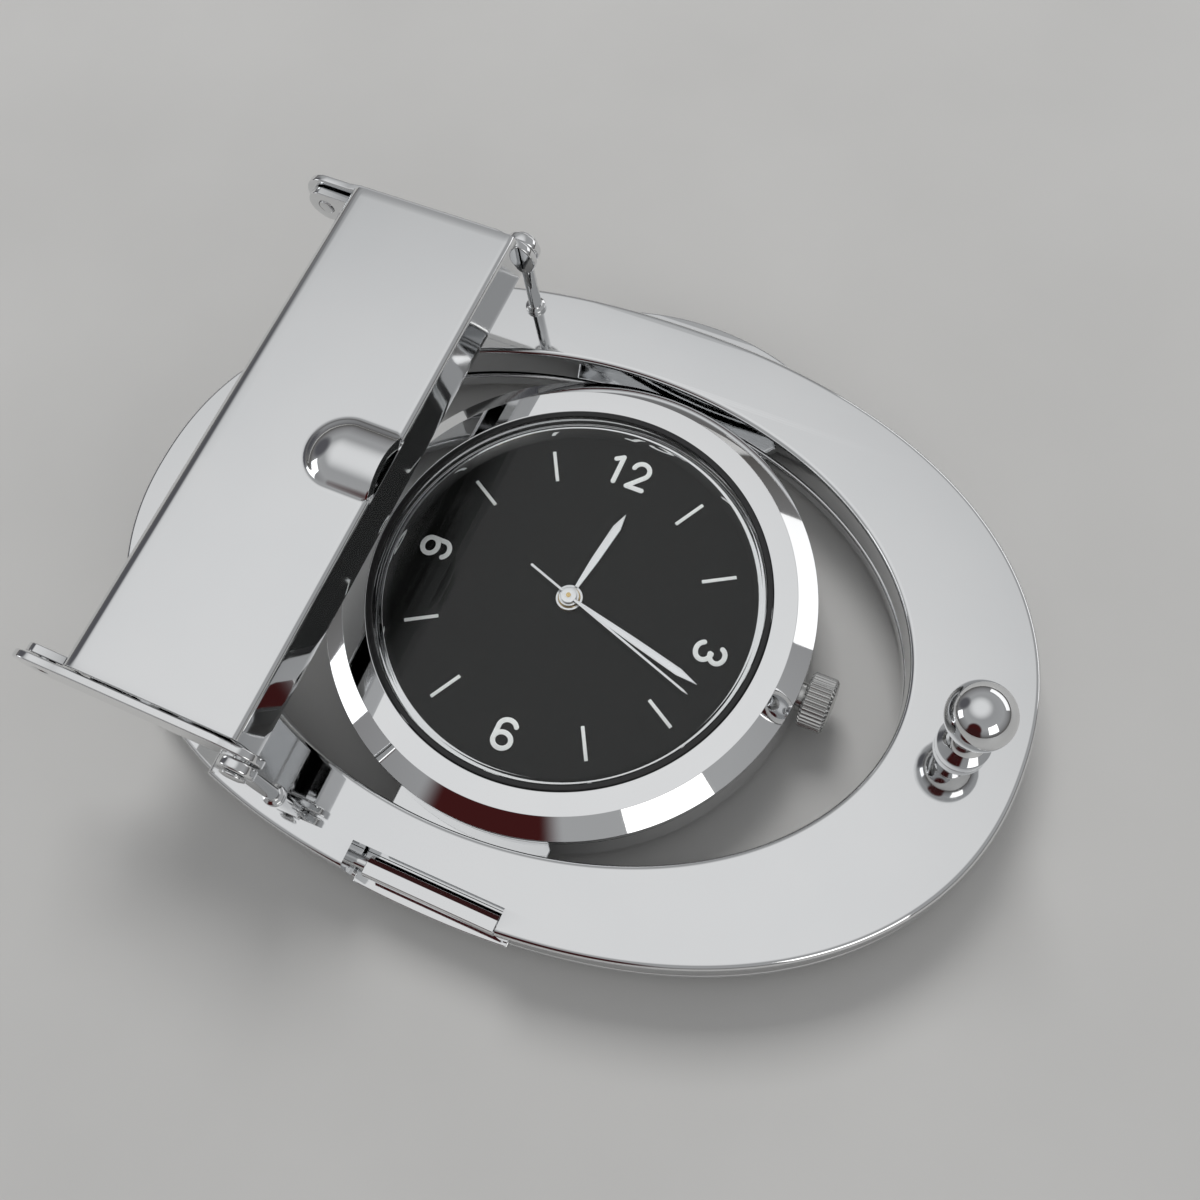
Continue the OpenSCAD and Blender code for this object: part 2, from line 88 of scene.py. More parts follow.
# ---------------------------------------------------------------- materials
class Shader:
    """A Principled material with short calls for its texture nodes. Coordinates are metres in the row frame."""

    def __init__(self, name, **values):
        self.material = bpy.data.materials.new(name)
        self.material.use_nodes = True
        self.tree = self.material.node_tree
        self.main = self.tree.nodes["Principled BSDF"]
        for key, value in values.items():
            self.main.inputs[key.replace("_", " ")].default_value = value
        self.place = self.tree.nodes.new("ShaderNodeTexCoord").outputs["Object"]

    def node(self, kind, **inputs):
        n = self.tree.nodes.new("ShaderNode" + kind)
        for key, value in inputs.items():
            socket = n.inputs[int(key[1:])] if key[0] == "_" else n.inputs[key]
            if isinstance(value, bpy.types.NodeSocket):
                self.tree.links.new(value, socket)
            else:
                socket.default_value = value
        return n

    def stretched(self, x, y, z):
        m = self.node("Mapping", Vector=self.place)
        m.inputs["Scale"].default_value = (x, y, z)
        return m.outputs["Vector"]

    def noise(self, scale, detail=2.0, vector=None, rough=0.5):
        n = self.node("TexNoise", Vector=vector or self.place, Scale=scale, Detail=detail, Roughness=rough)
        return n.outputs["Fac"]

    def math(self, operation, a, b=0.0):
        n = self.tree.nodes.new("ShaderNodeMath")
        n.operation = operation
        for socket, value in zip(n.inputs, (a, b)):
            if isinstance(value, bpy.types.NodeSocket):
                self.tree.links.new(value, socket)
            else:
                socket.default_value = value
        return n.outputs[0]

    def polar(self, ring_scale, turn_scale, axis="Z"):
        """A vector whose first part is the distance from an axis and whose second is the angle round it."""
        parts = self.node("SeparateXYZ", Vector=self.place)
        a, b = {"Z": ("X", "Y"), "X": ("Y", "Z")}[axis]
        x, y = parts.outputs[a], parts.outputs[b]
        r = self.math("SQRT", self.math("ADD", self.math("MULTIPLY", x, x), self.math("MULTIPLY", y, y)))
        angle = self.math("ARCTAN2", y, x)
        rings, turns = self.math("MULTIPLY", r, ring_scale), self.math("MULTIPLY", angle, turn_scale)
        return self.node("CombineXYZ", X=rings, Y=turns).outputs[0]

    def fit(self, value, low, high, start=0.3, end=0.7):
        m = self.node("MapRange", Value=value)
        for key, v in zip(("From Min", "From Max", "To Min", "To Max"), (start, end, low, high)):
            m.inputs[key].default_value = v
        return m.outputs["Result"]

    def tint(self, value, *stops):
        ramp = self.node("ValToRGB", Fac=value)
        for end, (where, colour) in zip(ramp.color_ramp.elements, (stops[0], stops[-1])):
            end.position, end.color = where, (*colour, 1)
        for at, colour in stops[1:-1]:
            ramp.color_ramp.elements.new(at).color = (*colour, 1)
        self.tree.links.new(ramp.outputs["Color"], self.main.inputs["Base Color"])

    def roughness(self, value):
        self.tree.links.new(value, self.main.inputs["Roughness"])

    def bump(self, *layers):
        """Each layer is a height value and its depth in metres."""
        last = None
        for value, depth in layers:
            n = self.node("Bump", Height=value, Distance=depth, Strength=1.0)
            if last:
                self.tree.links.new(last.outputs["Normal"], n.inputs["Normal"])
            last = n
        self.tree.links.new(last.outputs["Normal"], self.main.inputs["Normal"])


def chrome(name, low, high, wave, shade=0.80):
    """Plated mirror: faint haze in patches, hairlines, and a very slight unevenness of the plated face."""
    s = Shader(name, Metallic=1.0)
    duller, brighter = (0.965, 0.975, 0.985), (1, 1.005, 1.01)
    s.tint(s.noise(90, 3), (0.3, tuple(shade * c for c in duller)), (0.7, tuple(shade * c for c in brighter)))
    haze = s.fit(s.noise(160, 4), low, high)
    lines = s.fit(s.noise(1, 2, s.stretched(5200, 260, 900)), 0.0, 0.035, 0.56, 0.8)
    s.roughness(s.math("ADD", haze, lines))
    s.bump((s.noise(150, 1), wave), (s.noise(1, 1, s.stretched(6000, 350, 6000)), 2.5e-8))
    return s.material


def turned(name, colour, roughness, axis="Z", depth=4e-7):
    """Metal with the fine rings that a lathe or a circular brush leaves."""
    s = Shader(name, Metallic=1.0)
    rings = s.noise(1, 3, s.polar(16000, 1.2, axis))
    s.tint(rings, (0.25, tuple(c * 0.82 for c in colour)), (0.75, colour))
    s.roughness(s.fit(rings, roughness * 0.75, roughness * 1.3))
    s.bump((rings, depth))
    return s.material


def matt(name, dark, light, roughness, scale, depth, spread=0.15, **values):
    s = Shader(name, **values)
    grain = s.noise(scale, 4)
    s.tint(grain, (0.3, dark), (0.7, light))
    s.roughness(s.fit(grain, roughness * (1 - spread), roughness * (1 + spread)))
    s.bump((grain, depth))
    return s.material


def wound(name):
    """Enamelled wire wound round a bar that lies along Y."""
    s = Shader(name, Metallic=1.0)
    parts = s.node("SeparateXYZ", Vector=s.place)
    turns = s.math("SINE", s.math("MULTIPLY", parts.outputs["Y"], 2 * math.pi / (0.07 * MM)))
    # the colour runs from dark copper in the grooves between turns to pale copper on their crests: painted shade in the
    # grooves and a painted highlight on the crests, over the wire's real copper colour
    s.tint(turns, (0.0, (0.35, 0.12, 0.04)), (1.0, (0.85, 0.4, 0.18)))
    s.roughness(s.fit(s.noise(700, 2), 0.2, 0.35))
    s.bump((turns, 1.5e-5))
    return s.material


def circuit(name):
    """Green lacquered board with paler copper tracks under the lacquer."""
    s = Shader(name, Coat_Weight=0.5)
    cells = s.node("TexVoronoi", Vector=s.stretched(700, 700, 0), Scale=1.0)
    cells.distance = "CHEBYCHEV"
    lacquer, track = (0.012, 0.10, 0.035), (0.03, 0.20, 0.07)
    s.tint(cells.outputs["Distance"], (0.25, lacquer), (0.42, track), (0.5, lacquer))
    s.roughness(s.fit(s.noise(500), 0.3, 0.45))
    s.bump((cells.outputs["Distance"], 1e-5))
    return s.material


def clear_glass(name):
    s = Shader(name, Transmission_Weight=1.0, IOR=1.3)
    s.tint(s.noise(60, 2), (0.3, (0.97, 0.98, 0.98)), (0.7, (0.99, 0.995, 0.995)))
    s.roughness(s.fit(s.noise(220, 3), 0.0, 0.003))
    return s.material


MAT = {
    "mirror": chrome("chrome_mirror", 0.03, 0.065, 9e-7),
    "lid": chrome("chrome_lid", 0.045, 0.09, 9e-7),
    "case": chrome("chrome_case", 0.015, 0.04, 2e-7, 0.84),
    "pins": chrome("chrome_pins", 0.06, 0.14, 1e-6, 0.74),
    "knurl": turned("crown_steel", (0.60, 0.60, 0.59), 0.22, "X"),
    "steel": turned("brushed_steel", (0.66, 0.66, 0.65), 0.26),
    "hands": chrome("hand_silver", 0.24, 0.34, 1e-7, 0.97),
    "dial": matt("dial_charcoal", (0.0043, 0.0047, 0.0043), (0.0047, 0.0051, 0.0047), 0.6, 4000, 1e-9, 0.02,
                 Specular_IOR_Level=0.12),
    "print": matt("dial_print", (0.84, 0.86, 0.85), (0.90, 0.92, 0.91), 0.5, 5000, 2e-7),
    "seal": matt("black_rubber", (0.008, 0.008, 0.009), (0.016, 0.016, 0.017), 0.4, 3000, 3e-6),
    "glass": clear_glass("crystal_glass"),
    "brass": turned("gilt_brass", (0.83, 0.62, 0.30), 0.25),
    "plastic": matt("ivory_plastic", (0.62, 0.58, 0.47), (0.70, 0.66, 0.55), 0.42, 2600, 4e-6),
    "board": circuit("circuit_green"),
    "copper": wound("wound_copper"),
    "magnet": turned("magnet_grey", (0.16, 0.16, 0.17), 0.4),
}
SLOT_LOOKS = {"polished": "mirror", "crystal": "glass"}  # every other slot has a look of its own name
for part in frame["record"]["subparts"]:
    slot_name = part["material_slot"]
    frame["nodes"][part["node"]].material_slots[0].material = MAT[SLOT_LOOKS.get(slot_name, slot_name)]


# ---------------------------------------------------------------- mesh building
def place(name, mesh, material, node, body, flat_faces=True):
    """Turns a bmesh into a piece that stands for a CAD node. flat_faces keeps flat reflections beside rounded edges."""
    bmesh.ops.remove_doubles(mesh, verts=mesh.verts, dist=1e-7)
    bmesh.ops.recalc_face_normals(mesh, faces=mesh.faces)
    data = bpy.data.meshes.new(name)
    mesh.to_mesh(data)
    mesh.free()
    data.materials.append(MAT[material])
    data.shade_smooth()
    piece = bpy.data.objects.new(name, data)
    scene.collection.objects.link(piece)
    if flat_faces:
        piece.modifiers.new("flat_faces", "WEIGHTED_NORMAL").weight = 50
    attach(piece, body)
    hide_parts(node)
    return piece


def merged(*parts):
    """One bmesh from several."""
    whole = bmesh.new()
    for part in parts:
        data = bpy.data.meshes.new("part")
        part.to_mesh(data)
        part.free()
        whole.from_mesh(data)
        bpy.data.meshes.remove(data)
    return whole


def moved(mesh, matrix):
    bmesh.ops.transform(mesh, matrix=matrix, verts=mesh.verts)
    return mesh


def soften(points, radius, steps=4, closed=True):
    """Replaces the corners of a polyline with small arcs. radius is one number, or one for each point."""
    out = []
    n = len(points)
    for i, p in enumerate(points):
        r = radius[i] if isinstance(radius, (list, tuple)) else radius
        if r <= 0 or (not closed and i in (0, n - 1)):
            out.append(tuple(p))
            continue
        p, a, b = Vector(p), Vector(points[i - 1]), Vector(points[(i + 1) % n])
        u, v = (a - p), (b - p)
        half = u.angle(v) / 2
        if half > math.radians(89):
            out.append(tuple(p))
            continue
        cut = min(r / math.tan(half), 0.45 * min(u.length, v.length))
        true_r = cut * math.tan(half)
        centre = p + (u.normalized() + v.normalized()).normalized() * (true_r / math.sin(half))
        s, t = p + u.normalized() * cut - centre, p + v.normalized() * cut - centre
        sweep = s.angle(t)
        for k in range(steps + 1):
            f = k / steps
            along = (s * math.sin((1 - f) * sweep) + t * math.sin(f * sweep)) / math.sin(sweep)
            out.append(tuple(centre + along))
    return out


def lathe(profile, segments=192, wobble=None):
    """Turns a profile of (radius, height) round Z. A profile that meets the axis is closed there."""
    mesh = bmesh.new()
    closed = min(r for r, z in profile) > 1e-6
    rings = []
    for r, z in profile:
        if r < 1e-6:
            rings.append([mesh.verts.new((0, 0, z * MM))])
            continue
        ring = []
        for k in range(segments):
            a = 2 * math.pi * k / segments
            q = r - (wobble(r, z, a) if wobble else 0)
            ring.append(mesh.verts.new((q * math.cos(a) * MM, q * math.sin(a) * MM, z * MM)))
        rings.append(ring)
    pairs = list(zip(rings, rings[1:] + rings[:1])) if closed else list(zip(rings, rings[1:]))
    for a, b in pairs:
        for k in range(segments):
            j = (k + 1) % segments
            if len(a) == 1 and len(b) == 1:
                continue
            if len(a) == 1:
                mesh.faces.new((a[0], b[k], b[j]))
            elif len(b) == 1:
                mesh.faces.new((a[k], b[0], a[j]))
            else:
                mesh.faces.new((a[k], b[k], b[j], a[j]))
    return mesh


def plate(loops, low, high, edge, steps=3):
    """A flat plate from closed outlines in XY, the first outside and the rest holes, with rounded edges."""
    curve = bpy.data.curves.new("outline", "CURVE")
    curve.dimensions, curve.fill_mode = "2D", "BOTH"
    for loop in loops:
        spline = curve.splines.new("POLY")
        spline.points.add(len(loop) - 1)
        for point, (x, y) in zip(spline.points, loop):
            point.co = (x * MM, y * MM, 0, 1)
        spline.use_cyclic_u = True
    curve.offset, curve.bevel_depth, curve.bevel_resolution = -edge * MM, edge * MM, steps
    curve.extrude = ((high - low) / 2 - edge) * MM
    holder = bpy.data.objects.new("outline", curve)
    scene.collection.objects.link(holder)
    data = bpy.data.meshes.new_from_object(holder.evaluated_get(bpy.context.evaluated_depsgraph_get()))
    mesh = bmesh.new()
    mesh.from_mesh(data)
    bpy.data.objects.remove(holder)
    bpy.data.meshes.remove(data)
    bmesh.ops.remove_doubles(mesh, verts=mesh.verts, dist=1e-7)
    return moved(mesh, Matrix.Translation((0, 0, (low + high) / 2 * MM)))


def carved(mesh, cutter, edge):
    """One closed mesh less another, with the fresh corners rounded by edge."""
    holders = []
    for part in (mesh, cutter):
        data = bpy.data.meshes.new("part")
        part.to_mesh(data)
        part.free()
        holders.append(bpy.data.objects.new("part", data))
        scene.collection.objects.link(holders[-1])
    cut = holders[0].modifiers.new("cut", "BOOLEAN")
    cut.object, cut.operation, cut.solver = holders[1], "DIFFERENCE", "EXACT"
    rounding = holders[0].modifiers.new("rounding", "BEVEL")
    rounding.width, rounding.segments, rounding.angle_limit = edge * MM, 2, math.radians(40)
    result = bmesh.new()
    result.from_object(holders[0], bpy.context.evaluated_depsgraph_get())
    for holder in holders:
        bpy.data.objects.remove(holder)
    return result


def block(low, high):
    mesh = bmesh.new()
    size, middle = [h - l for l, h in zip(low, high)], [(l + h) / 2 for l, h in zip(low, high)]
    bmesh.ops.create_cube(mesh, size=MM)
    return moved(mesh, at(*middle) @ Matrix.Diagonal((*size, 1)))


def arc(x, y, r, start, end, steps=24):
    """Points on an arc, angles in degrees."""
    return [(x + r * math.cos(math.radians(start + (end - start) * k / steps)),
             y + r * math.sin(math.radians(start + (end - start) * k / steps))) for k in range(steps + 1)]


ON_X = Matrix.Rotation(math.radians(90), 4, "Y")    # turns +Z to +X
ON_Y = Matrix.Rotation(math.radians(-90), 4, "X")   # turns +Z to +Y
UPRIGHT = Matrix.Rotation(math.radians(90), 4, "X")  # turns the XY drawing plane to XZ, and +Z to -Y
SIDEWAYS = Matrix(((0, 0, 1, 0), (1, 0, 0, 0), (0, 1, 0, 0), (0, 0, 0, 1)))  # turns the XY drawing plane to YZ


def at(x, y, z):
    return Matrix.Translation((x * MM, y * MM, z * MM))


# ---------------------------------------------------------------- ovals of the frame and ring
SHIFT = -1.5
OUT_A, OUT_B, OUT_P = 35.3, 24.25, 2.2
IN_A, IN_B = 26.5, 18.8
NOTCH_LEFT, NOTCH_RIGHT, NOTCH_BACK = -6.1, 5.5, -22.1
ARM_END = edge_of("frame", 0, 0)
PAST_ARM_END = ARM_END + 0.15


def oval(a, b, p, degrees):
    c, s = math.cos(math.radians(degrees)), math.sin(math.radians(degrees))
    return (SHIFT + a * math.copysign(abs(c) ** (2 / p), c), b * math.copysign(abs(s) ** (2 / p), s))


def outline_y(x):
    return OUT_B * (1 - (abs(x - SHIFT) / OUT_A) ** OUT_P) ** (1 / OUT_P)


def opening_y(x):
    return IN_B * math.sqrt(1 - ((x - SHIFT) / IN_A) ** 2)


STEP = 0.75
full = [i * STEP for i in range(round(360 / STEP))]
outer_ring = [oval(OUT_A, OUT_B, OUT_P, t) for t in full]
inner_ring = [oval(IN_A, IN_B, 2, t) for t in full]

# ---------------------------------------------------------------- back frame
outer = [oval(OUT_A, OUT_B, OUT_P, -180 + i * STEP) for i in range(round(360 / STEP) + 1)]
outer = [p for p in outer if p[0] > PAST_ARM_END]
inner = [oval(IN_A, IN_B, 2, 180 - i * STEP) for i in range(round(360 / STEP) + 1)]
inner = [p for p in inner if p[0] > PAST_ARM_END]
loop = [(ARM_END, -outline_y(ARM_END))] + outer + [(ARM_END, outline_y(ARM_END))]
loop += [(ARM_END, opening_y(ARM_END))] + inner + [(ARM_END, -opening_y(ARM_END))]
FRAME_LOW, FRAME_TOP = edge_of("frame", 0, 2), edge_of("frame", 1, 2)
notch = block((NOTCH_LEFT, -30, FRAME_LOW - 1), (NOTCH_RIGHT, NOTCH_BACK, FRAME_TOP + 1))
notched = carved(plate([loop], FRAME_LOW, FRAME_TOP, 0.42, 5), notch, 0.07)
place("back_frame", notched, "mirror", "frame", "back_frame")

# ---------------------------------------------------------------- front ring, leaf and lip
RING_LOW, RING_TOP = edge_of("front_ring", 0, 2), edge_of("front_ring", 1, 2)
whole_ring = plate([outer_ring, inner_ring], RING_LOW, RING_TOP, 0.3, 4)
place("buckle_ring", whole_ring, "mirror", "front_ring", "watch")

CASE_R = edge_of("case", 1, 0)
HINGE_Y, HINGE_Z = -23.1, 4.3
KNUCKLE = (-4.9, 5.2)
leaf_outer = [(x, -outline_y(x) - 0.28) for x in [-6.0 + 0.4 * i for i in range(31)]]
leaf_back = [(x, -math.sqrt(CASE_R ** 2 - x ** 2) + 0.3) for x in [6.0 - 0.4 * i for i in range(31)]]
leaf = plate([leaf_outer + leaf_back], RING_TOP - 0.8, RING_TOP + 0.02, 0.1)
web = [(KNUCKLE[0], -23.75), (KNUCKLE[1], -23.75), (KNUCKLE[1], -22.5), (KNUCKLE[0], -22.5)]
web = plate([soften(web, 0.1)], RING_TOP - 0.1, HINGE_Z, 0.05)
section = [(-0.85, -0.1), (-0.8, 0.5), (-0.68, 0.68), (0.14, 0.68), (0.5, 0.42), (0.74, 0)]
section += [(0.6, -0.5), (0, -0.84), (-0.6, -0.6)]
barrel = plate([soften(section, 0.1, 3), arc(0, 0, 0.49, 0, 360, 48)[:-1]], 0, KNUCKLE[1] - KNUCKLE[0], 0.06)
barrel = moved(barrel, at(KNUCKLE[0], HINGE_Y, HINGE_Z) @ SIDEWAYS)
place("leaf_hinge", merged(leaf, web, barrel), "mirror", "hinge_leaf", "watch")
pin_low, pin_high = edge_of("hinge_pin", 0, 0), edge_of("hinge_pin", 1, 0)
pin = lathe(soften([(0, 0), (0.45, 0), (0.45, pin_high - pin_low), (0, pin_high - pin_low)], 0.1, 3, False), 48)
place("frame_pin", moved(pin, at(pin_low, HINGE_Y, HINGE_Z) @ ON_X), "pins", "hinge_pin", "back_frame")

LIP_HALF, LIP_CENTRE, LIP_R = 8.1, (-0.3, 5.4), 22.0
lip_start = math.degrees(math.acos((LIP_HALF - LIP_CENTRE[0]) / LIP_R))
lip_end = math.degrees(math.acos((-LIP_HALF - LIP_CENTRE[0]) / LIP_R))
lip_front = arc(*LIP_CENTRE, LIP_R, lip_start, lip_end, 40)
lip_back = [(x, math.sqrt(CASE_R ** 2 - x ** 2) - 0.3) for x in [-LIP_HALF + 0.405 * i for i in range(41)]]
tongue = plate([lip_front + lip_back], RING_LOW - 0.02, RING_LOW + 0.9, 0.2)
place("lip", tongue, "mirror", "thumb_lip", "watch")

# ---------------------------------------------------------------- watch head
BEZEL_TOP = edge_of("bezel", 1, 2)
case = [(14.4, 0.42), (16.4, 0.42), (17.5, 0.85), (CASE_R, 1.5), (CASE_R, 5), (14.4, 5)]
place("case_body", lathe(soften(case, 0.08), 256), "case", "case", "watch")
bezel = [(14.75, 5), (CASE_R - 0.06, 5), (CASE_R, 5.06), (CASE_R, 5.65), (16.5, BEZEL_TOP), (14.75, BEZEL_TOP)]
bezel = lathe(soften(bezel, [0.02, 0.02, 0.02, 0.06, 0.07, 0.12]), 256)
place("bezel_ring", bezel, "case", "bezel", "watch")
gasket = [(14.32, 5.4), (14.73, 5.02), (14.73, BEZEL_TOP + 0.06), (14.32, BEZEL_TOP + 0.06)]
place("crystal_seal", lathe(soften(gasket, 0.08), 192), "seal", "crystal_gasket", "watch")
glass = [(0, 5.66), (14.29, 5.66), (14.29, BEZEL_TOP + 0.04), (14.0, BEZEL_TOP + 0.2), (0, BEZEL_TOP + 0.2)]
glass = lathe(soften(glass, [0, 0.03, 0.04, 0.04, 0], 3, False), 256)
crystal = place("crystal_pane", glass, "glass", "crystal", "watch")
crystal.visible_shadow = False
DIAL_TOP = edge_of("dial", 1, 2)
flange = [(13.35, DIAL_TOP), (14.35, DIAL_TOP), (14.35, 4.98), (14.05, 5.57), (13.75, 5.57)]
place("flange_ring", lathe(soften(flange, 0.03), 256), "case", "rehaut", "watch")
disc = [(0.95, 4.3), (14.33, 4.3), (14.33, DIAL_TOP), (0.95, DIAL_TOP)]
place("dial_disc", lathe(soften(disc, 0.05), 192), "dial", "dial", "watch")

BAR_IN, BAR_OUT, BAR_W, INK = 9.75, 12.3, 0.26, 0.06
bars = []
for hour in (1, 2, 4, 5, 7, 8, 10, 11):
    w = BAR_W / 2
    bar = soften([(BAR_IN, -w), (BAR_OUT, -w), (BAR_OUT, w), (BAR_IN, w)], 0.03, 2)
    bar = plate([bar], DIAL_TOP - 0.01, DIAL_TOP + INK, 0.015, 1)
    bars.append(moved(bar, Matrix.Rotation(math.radians(90 - 30 * hour), 4, "Z")))
place("hour_marks", merged(*bars), "print", "hour_bars", "watch")


def ribbon(points, width, below):
    """A printed stroke with round ends along a smooth row of points, a hair below the stroke it crosses."""
    ends = [Vector(b) - Vector(a) for a, b in zip(points, points[1:])]
    headings = [ends[0]] + [a.normalized() + b.normalized() for a, b in zip(ends, ends[1:])] + [ends[-1]]
    angles = [math.degrees(math.atan2(h.y, h.x)) for h in headings]
    one = [arc(x, y, width / 2, a + 90, a + 90, 1)[0] for (x, y), a in zip(points, angles)]
    other = [arc(x, y, width / 2, a - 90, a - 90, 1)[0] for (x, y), a in zip(points, angles)]
    cap = arc(*points[-1], width / 2, angles[-1] + 90, angles[-1] - 90, 10)[1:-1]
    tail = arc(*points[0], width / 2, angles[0] - 90, angles[0] - 270, 10)[1:-1]
    return plate([one + cap + other[::-1] + tail], DIAL_TOP - 0.01, DIAL_TOP + INK - below, 0.01, 1)


FIGURE_H, FIGURE_R, STROKE_W = 2.5, 11.1, 0.37
half = FIGURE_H / 2 - 0.18
r2, r3, r6 = FIGURE_H * 0.25, FIGURE_H * 0.215, FIGURE_H * 0.235
neck_x, neck_y = arc(0, half - r2, r2, -38, -38, 1)[0]
one = [[(0, -half), (0, half)], [(0, half), (-FIGURE_H * 0.2, half - FIGURE_H * 0.12)]]
two = [arc(0, half - r2, r2, 170, -38), [(neck_x, neck_y), (-r2, -half)], [(-r2, -half), (r2, -half)]]
three = [arc(0, half - r3, r3, 160, -88), arc(0, r3 * 1.06 - half, r3 * 1.1, 86, -160)]
six = [arc(0, r6 - half, r6, 0, 180), arc(0, r6 - half, r6, 180, 360)]
six += [arc(0, half - r6, r6, 28, 180) + [(-r6, 0), (-r6, r6 - half)]]
figures = []
for strokes, x, y, turned_by, wider in (
        (one, -0.95, FIGURE_R, 0, 1), (two, 0.75, FIGURE_R, 0, 1), (three, FIGURE_R, 0, -90, 1.14),
        (six, 0, -FIGURE_R, 0, 1.12), (six, -FIGURE_R, 0, 270, 1.12)):
    spot = at(x, y, 0) @ Matrix.Rotation(math.radians(turned_by), 4, "Z")
    for i, points in enumerate(strokes):
        figures.append(moved(ribbon([(u * wider, v) for u, v in points], STROKE_W, 0.004 * i), spot))
place("hour_figures", merged(*figures), "print", "numerals", "watch")


# ---------------------------------------------------------------- hands
def hand(name, node, body, tip, wide, neck, shoulder, root, hub, bore, angle):
    """A slim baton with a short point and a round boss. It points along X before it is turned to its angle."""
    low, high = edge_of(node, 0, 2), edge_of(node, 0, 2) + (0.08 if node == "seconds_hand" else 0.1)
    w = wide / 2
    foot = w if root < 0 else w * 0.4
    outline = [(root, -foot), (neck, -w * 0.9), (shoulder, -w), (tip, -0.015)]
    outline += [(x, -y) for x, y in outline[::-1]]
    boss_top = edge_of(node, 1, 2)
    boss = lathe(soften([(bore, low), (hub, low), (hub, boss_top), (bore, boss_top)], 0.03, 3), 64)
    mesh = merged(plate([outline], low, high, 0.02, 2), boss)
    mesh = moved(mesh, Matrix.Rotation(math.radians(90 - angle), 4, "Z"))
    return place(name, mesh, "hands", node, body)


HOUR_AT, MINUTE_AT, SECOND_AT = 8.7, 103.5, 108.6
hand("hand_hour", "hour_hand", "hours", 7.75, 0.66, 3.4, 6.5, 0.85, 1.0, 0.81, HOUR_AT)
hand("hand_minute", "minute_hand", "minutes", 11.5, 0.6, 6.0, 9.9, 0.6, 0.75, 0.43, MINUTE_AT)
hand("hand_seconds", "seconds_hand", "seconds", 11.5, 0.19, 10.9, 11, -3.8, 0.6, 0.1, SECOND_AT)

# ---------------------------------------------------------------- crown
CROWN_Z, CROWN_R, CROWN_X, GROOVES = 3.3, 2.05, 18.7, 36


def knurl(r, x, a):
    depth = 0.13 * max(0.0, min(1.0, (r - 1.75) / 0.2))
    return depth * (0.5 - 0.5 * math.cos(a * GROOVES)) ** 2


head = [(0, -0.35), (1.85, -0.35), (CROWN_R, -0.17), (CROWN_R, 1.4), (1.8, 1.62), (1.2, 1.7), (0, 1.75)]
head = soften(head, [0, 0.06, 0.06, 0.06, 0.1, 0.2, 0], 3, False)
neck = lathe(soften([(0, -1.1), (1.1, -1.1), (1.1, -0.33), (0, -0.33)], 0.05, 2, False), 48)
crown = moved(merged(lathe(head, GROOVES * 12, knurl), neck), at(CROWN_X, 0, CROWN_Z) @ ON_X)
place("crown_head", crown, "knurl", "crown", "crown")

# ---------------------------------------------------------------- belt stud
STUD_X, BALL_R, BALL_Z = 29.4, 2.3, 12.9
neck_r = 1.0
start = math.degrees(math.acos(neck_r / BALL_R))
ball = [(0, BALL_Z + BALL_R)] + arc(0, BALL_Z, BALL_R, 88, -start, 40)
shank = [(neck_r + 0.02, BALL_Z - 2.1), (neck_r, 9.2), (neck_r, FRAME_LOW + 0.1), (0, FRAME_LOW + 0.1)]
shank = soften(shank, [0.2, 0, 0, 0], 3, False)
place("stud_ball", moved(lathe(ball + shank, 96), at(STUD_X, 0, 0)), "mirror", "stud", "back_frame")
collar = [(neck_r, 0), (1.85, 0), (1.85, 0.9), (1.4, 1.9), (neck_r, 2.5)]
collar = lathe(soften(collar, [0.02, 0.06, 0.7, 0.8, 0.02], 8), 96)
place("stud_foot", moved(collar, at(STUD_X, 0, FRAME_TOP)), "mirror", "stud_collar", "back_frame")

# ---------------------------------------------------------------- clamp posts and pins
POST_X, AXIS_Z, POST_Y, POST_T, PIVOT_R = -12.7, 13.7, 21.15, 0.8, 0.6
for side, label in ((1, "upper"), (-1, "lower")):
    middle = side * (POST_Y + POST_T / 2)
    eye = [arc(POST_X, AXIS_Z, 1.35, 0, 360, 48)[:-1], arc(POST_X, AXIS_Z, PIVOT_R + 0.04, 0, 360, 32)[:-1]]
    eye = plate(eye, -POST_T / 2, POST_T / 2, 0.2)
    eye = moved(eye, at(0, middle, 0) @ UPRIGHT)
    rod = [(0, FRAME_LOW + 0.05), (0.9, FRAME_LOW + 0.05), (0.9, FRAME_LOW + 0.5), (0.5, FRAME_LOW + 0.5)]
    rod += [(0.5, FRAME_TOP - 0.05), (0.8, FRAME_TOP - 0.05), (0.8, FRAME_TOP + 0.3), (0.5, FRAME_TOP + 0.45)]
    rod += [(0.5, AXIS_Z - 0.95), (0, AXIS_Z - 0.95)]
    post = merged(eye, moved(lathe(soften(rod, 0.12, 3, False), 64), at(POST_X, middle, 0)))
    place("post_" + label + "_rod", post, "mirror", "post_" + label, "back_frame")
    inside, outside = POST_Y - 0.65, POST_Y + POST_T + 0.4
    head = [(0, inside), (PIVOT_R, inside), (PIVOT_R, outside - 0.3), (0.95, outside - 0.3)]
    head += [(0.95, outside - 0.1), (0.6, outside), (0, outside)]
    head = soften(head, [0, 0.05, 0.02, 0.08, 0.12, 0.2, 0], 3, False)
    pin = moved(lathe(head, 64), at(POST_X, 0, AXIS_Z) @ (ON_Y if side > 0 else UPRIGHT))
    place("pivot_" + label, pin, "pins", "pivot_pin_" + label, "clamp")

